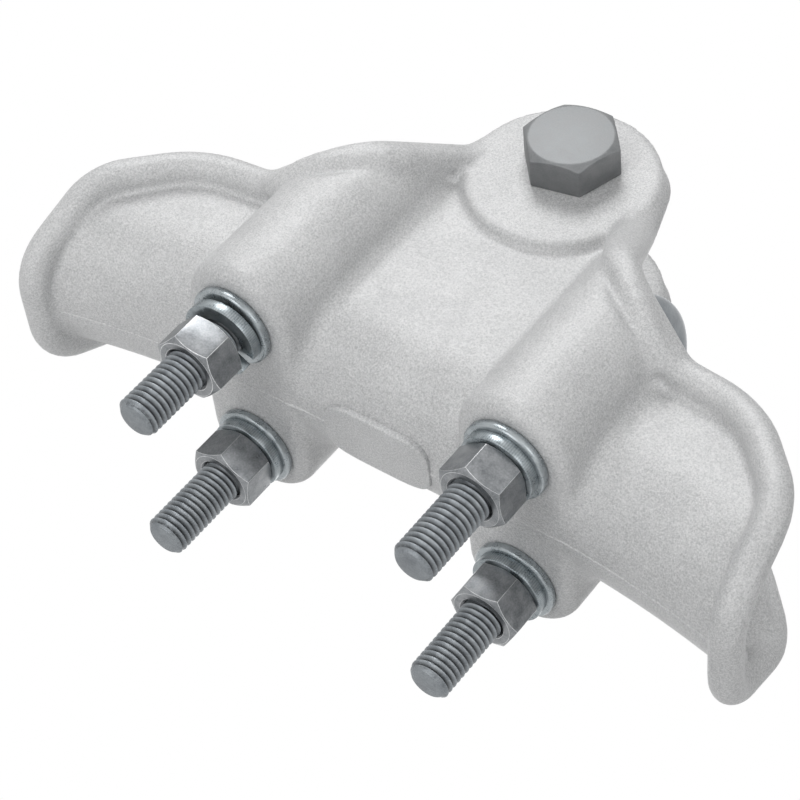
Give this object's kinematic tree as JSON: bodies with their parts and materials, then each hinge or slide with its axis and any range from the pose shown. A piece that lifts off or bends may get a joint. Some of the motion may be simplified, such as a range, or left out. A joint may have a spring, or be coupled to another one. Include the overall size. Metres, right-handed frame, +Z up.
{
  "type": "conductor suspension clamp",
  "caption": "Cast boat-shaped suspension clamp that hangs from a bolt through its ears and grips an overhead conductor under a keeper drawn down by inverted U-bolts.",
  "frame": {"origin": "on the hang bolt's axis, midway between the two ears", "axes": "+X along the conductor, +Z up in service, the hang bolt's head on the -Y side"},
  "size_m": [0.2286, 0.0968, 0.1548],
  "materials": {
    "cast_alloy": "pale satin sand-cast skin with a fine grain",
    "bolt_zinc": "dull zinc grey",
    "nut_zinc": "dull zinc grey with brighter corners",
    "washer_zinc": "bright bluish zinc",
    "spring_zinc": "bright zinc with upright tool marks on its edge",
    "pin_steel": "plain bright steel wire"
  },
  "bodies": {
    "boat": {"clamp_body": "cast_alloy", "flat_washer_1": "washer_zinc", "flat_washer_2": "washer_zinc", "flat_washer_3": "washer_zinc", "flat_washer_4": "washer_zinc", "spring_washer_1": "spring_zinc", "spring_washer_2": "spring_zinc", "spring_washer_3": "spring_zinc", "spring_washer_4": "spring_zinc"},
    "press": {"keeper": "cast_alloy", "u_bolt_left": "bolt_zinc", "u_bolt_right": "bolt_zinc"},
    "hanger": {"hang_bolt": "bolt_zinc", "hang_washer": "washer_zinc", "hang_nut": "nut_zinc", "cotter_pin": "pin_steel"},
    "nut_1": {"nut_1": "nut_zinc"},
    "nut_2": {"nut_2": "nut_zinc"},
    "nut_3": {"nut_3": "nut_zinc"},
    "nut_4": {"nut_4": "nut_zinc"}
  },
  "joints": [
    {"name": "nut_1_turn", "type": "hinge", "parent": "boat", "child": "nut_1", "pos_m": [-0.043, -0.0235, -0.10695], "axis": [0, 0, -1], "range_deg": [0, 2520]},
    {"name": "nut_2_turn", "type": "hinge", "parent": "boat", "child": "nut_2", "pos_m": [-0.043, 0.0235, -0.10345], "axis": [0, 0, -1], "range_deg": [0, 2520]},
    {"name": "nut_3_turn", "type": "hinge", "parent": "boat", "child": "nut_3", "pos_m": [0.043, -0.0235, -0.10345], "axis": [0, 0, -1], "range_deg": [0, 2520]},
    {"name": "nut_4_turn", "type": "hinge", "parent": "boat", "child": "nut_4", "pos_m": [0.043, 0.0235, -0.10345], "axis": [0, 0, -1], "range_deg": [0, 2520]},
    {"name": "keeper_lift", "type": "slide", "parent": "boat", "child": "press", "axis": [0, 0, 1], "range_m": [0, 0.01224]},
    {"name": "hang_swing", "type": "hinge", "parent": "boat", "child": "hanger", "pos_m": [0, 0, 0], "axis": [0, 1, 0], "continuous": true}
  ],
  "couplings": [
    {"joint": "nut_1_turn", "follows": "keeper_lift", "rad_per_m": 3590.4},
    {"joint": "nut_2_turn", "follows": "keeper_lift", "rad_per_m": 3590.4},
    {"joint": "nut_3_turn", "follows": "keeper_lift", "rad_per_m": 3590.4},
    {"joint": "nut_4_turn", "follows": "keeper_lift", "rad_per_m": 3590.4}
  ]
}
